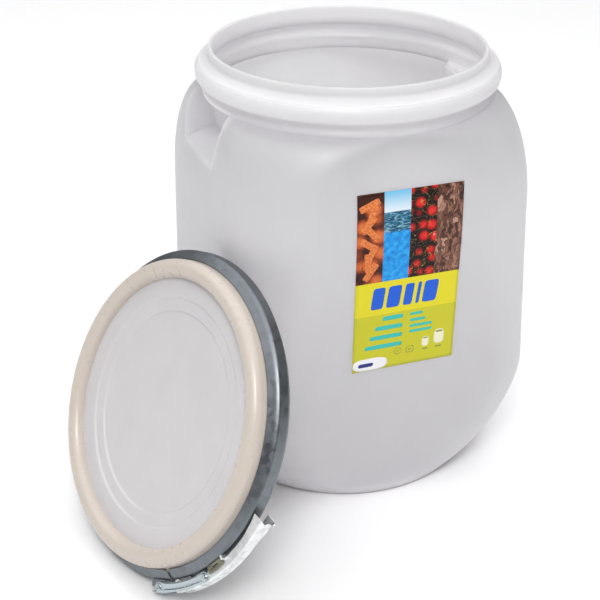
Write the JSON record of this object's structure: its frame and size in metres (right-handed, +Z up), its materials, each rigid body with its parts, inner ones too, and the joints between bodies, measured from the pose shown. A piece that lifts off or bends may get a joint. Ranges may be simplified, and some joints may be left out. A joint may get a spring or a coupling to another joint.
{
  "type": "open head drum",
  "caption": "Plastic open head drum, rounded-square body with recessed grips and a round mouth, with its domed-rim lid and steel lever-lock clamp ring leaning on it.",
  "frame": {"origin": "middle of the drum's base, on the surface it stands on", "axes": "+Z up the drum's axis; the labelled face looks along -Y, the hand grips along -X and +X"},
  "size_m": [0.5792, 0.5615, 0.54],
  "materials": {
    "hdpe_white": "blow-moulded natural polyethylene, semi-matt",
    "label_film": "printed film with a satin face",
    "hdpe_cream": "injection-moulded cream polyethylene, satin",
    "hdpe_lid": "injection-moulded white polyethylene, satin",
    "foam_rubber": "closed-cell foam rubber",
    "galvanised_steel": "hot-dip galvanised strip",
    "galvanised_bright": "galvanised pressing, pale",
    "zinc_steel": "bright bluish zinc plate"
  },
  "bodies": {
    "drum": {"drum_shell": "hdpe_white", "label": "label_film"},
    "lid": {"lid_rim": "hdpe_cream", "lid_panel": "hdpe_lid", "lid_gasket": "foam_rubber"},
    "clamp_ring": {"clamp_hoop": "galvanised_steel", "gap_tongue": "galvanised_steel", "lug_bracket": "galvanised_steel", "pivot_bracket": "galvanised_steel", "pivot_pin": "zinc_steel", "seal_bracket": "galvanised_steel"},
    "lever": {"lever": "galvanised_bright", "link_pin": "zinc_steel"},
    "link": {"tension_link": "zinc_steel", "lug_pin": "zinc_steel"}
  },
  "joints": [
    {"name": "lid_take_away", "type": "slide", "parent": "drum", "child": "lid", "axis": [-0.8624, -0.2637, 0.4321], "range_m": [0, 0.45]},
    {"name": "ring_off", "type": "slide", "parent": "lid", "child": "clamp_ring", "axis": [-0.8624, -0.2637, 0.4321], "range_m": [0, 0.12]},
    {"name": "lever_throw", "type": "hinge", "parent": "clamp_ring", "child": "lever", "pos_m": [-0.30316, -0.29634, 0.03327], "axis": [-0.8624, -0.2637, 0.4321], "range_deg": [-150, 0]},
    {"name": "link_swing", "type": "hinge", "parent": "lever", "child": "link", "pos_m": [-0.2797, -0.32469, 0.0628], "axis": [-0.8624, -0.2637, 0.4321], "range_deg": [0, 128]}
  ],
  "couplings": [
    {"joint": "link_swing", "follows": "lever_throw", "ratio": -0.85}
  ]
}
